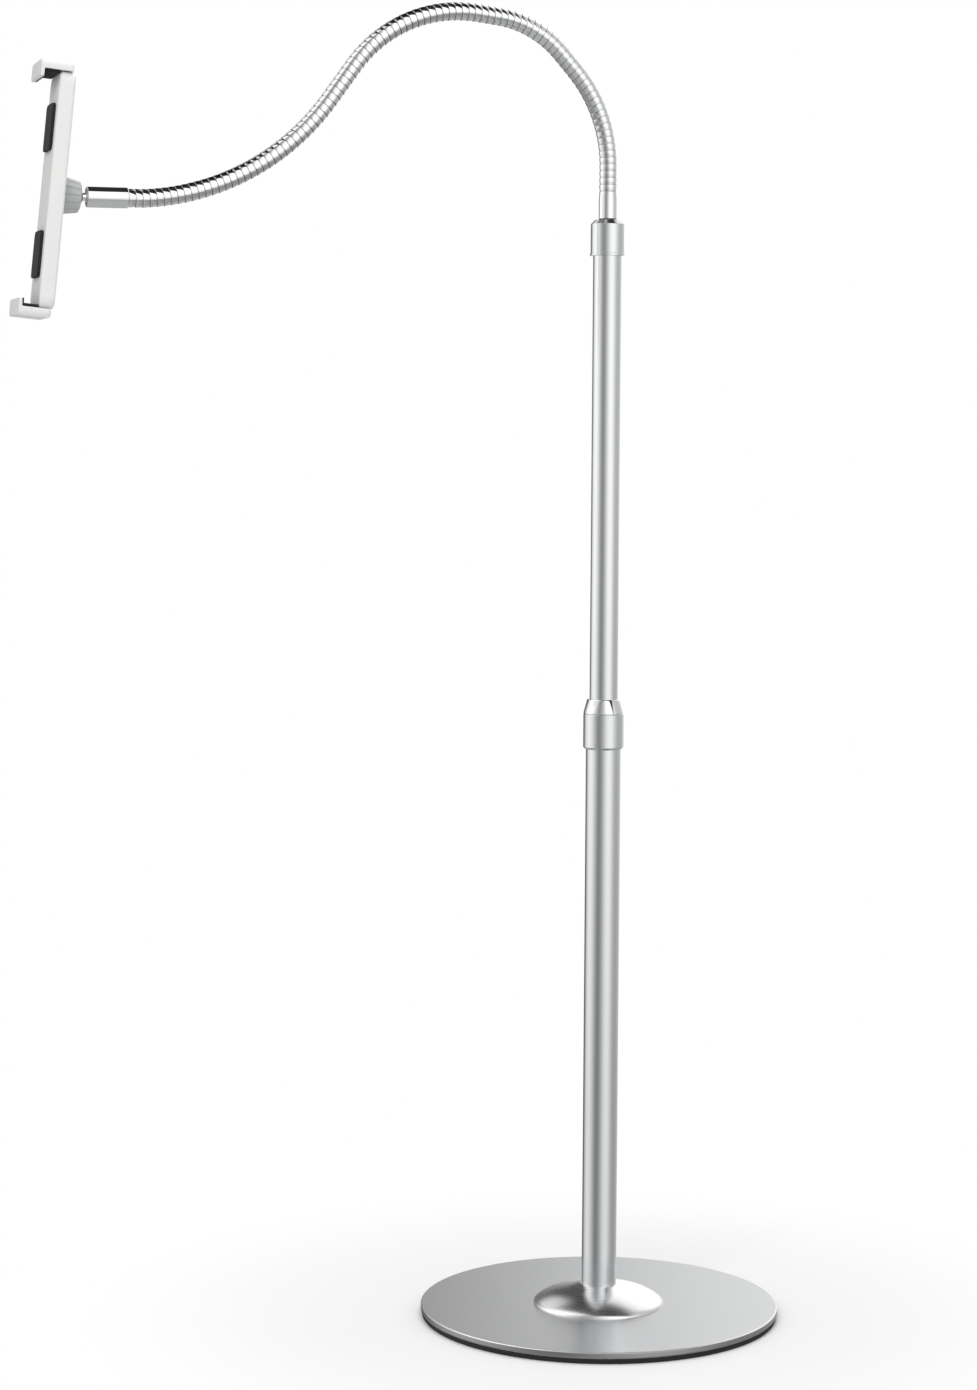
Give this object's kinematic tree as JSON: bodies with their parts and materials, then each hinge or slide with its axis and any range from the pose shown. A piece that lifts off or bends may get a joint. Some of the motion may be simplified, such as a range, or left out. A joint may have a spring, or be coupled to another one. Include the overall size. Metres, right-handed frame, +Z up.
{
  "type": "tablet floor stand",
  "caption": "Free-standing floor stand: round weighted base, telescopic pole with twist lock, bending gooseneck, ball joint and spring clamp for a tablet.",
  "frame": {"origin": "centre of the foot on the floor", "axes": "+Z up along the pole, the gooseneck reaches toward -X, the clamp's width is along Y"},
  "size_m": [0.5948, 0.28, 1.0122],
  "materials": {
    "satin_steel": "satin",
    "satin_tube": "satin",
    "chrome": "polished",
    "black_rubber": "matte",
    "white_plastic": "satin",
    "grey_plastic": "satin",
    "nylon": "satin",
    "plain_steel": "plain"
  },
  "bodies": {
    "base": {"base_plate": "satin_steel", "foot_pad": "black_rubber", "flange_cover": "chrome", "base_bolt": "plain_steel", "base_washer": "plain_steel", "tube_foot_plug": "plain_steel", "lower_tube": "satin_tube", "collet_sleeve": "nylon"},
    "twist_lock": {"lock_collar": "satin_tube", "lock_cone": "chrome"},
    "guide": {"guide_bush": "nylon"},
    "mast": {"upper_tube": "satin_tube", "bush_ring": "plain_steel", "bush_end_cap": "nylon", "top_collar": "satin_tube", "neck_insert": "plain_steel", "seal_ring": "black_rubber", "lower_ferrule": "chrome", "gooseneck_span_1": "chrome"},
    "neck_2": {"gooseneck_span_2": "chrome"},
    "neck_3": {"gooseneck_span_3": "chrome"},
    "neck_4": {"gooseneck_span_4": "chrome", "end_ferrule": "chrome"},
    "ball": {"ball_stud": "chrome"},
    "nut": {"locking_nut": "grey_plastic"},
    "clamp": {"clamp_back_cover": "white_plastic", "clamp_front_shell": "white_plastic", "cover_screws": "plain_steel", "grip_pads": "black_rubber", "lower_jaw": "white_plastic", "lower_jaw_pad": "black_rubber", "return_springs": "plain_steel"},
    "sliding_jaw": {"upper_jaw": "white_plastic", "upper_jaw_pad": "black_rubber", "slide_bar": "plain_steel", "jaw_screws": "plain_steel"}
  },
  "joints": [
    {"name": "lock_turn", "type": "hinge", "parent": "base", "child": "twist_lock", "pos_m": [0, 0, 0.46], "axis": [0, 0, 1], "range_deg": [0, 120]},
    {"name": "mast_slide", "type": "slide", "parent": "base", "child": "guide", "axis": [0, 0, 1], "range_m": [-0.335, 0]},
    {"name": "mast_swivel", "type": "hinge", "parent": "guide", "child": "mast", "pos_m": [0, 0, 0.43], "axis": [0, 0, 1], "continuous": true},
    {"name": "neck_bend_1", "type": "hinge", "parent": "mast", "child": "neck_2", "pos_m": [-0.03309, 0, 0.97151], "axis": [0, 1, 0], "range_deg": [-25, 25]},
    {"name": "neck_bend_2", "type": "hinge", "parent": "neck_2", "child": "neck_3", "pos_m": [-0.09547, 0, 1.00398], "axis": [0, 1, 0], "range_deg": [-25, 25]},
    {"name": "neck_bend_3", "type": "hinge", "parent": "neck_3", "child": "neck_4", "pos_m": [-0.20901, 0, 0.95032], "axis": [0, 1, 0], "range_deg": [-25, 25]},
    {"name": "ball_swivel", "type": "hinge", "parent": "neck_4", "child": "ball", "pos_m": [-0.41134, 0, 0.8604], "axis": [1, 0, 0], "continuous": true},
    {"name": "clamp_tilt", "type": "hinge", "parent": "ball", "child": "nut", "pos_m": [-0.41134, 0, 0.8604], "axis": [0, 1, 0], "range_deg": [-30, 19]},
    {"name": "clamp_turn", "type": "hinge", "parent": "nut", "child": "clamp", "pos_m": [-0.41134, 0, 0.8604], "axis": [-0.9949, 0, 0.1011], "continuous": true},
    {"name": "jaw_slide", "type": "slide", "parent": "clamp", "child": "sliding_jaw", "axis": [0.1011, 0, 0.9949], "range_m": [0, 0.06], "stiffness_N_per_m": 130, "springref_m": -0.045, "deforming": ["return_springs"]}
  ]
}
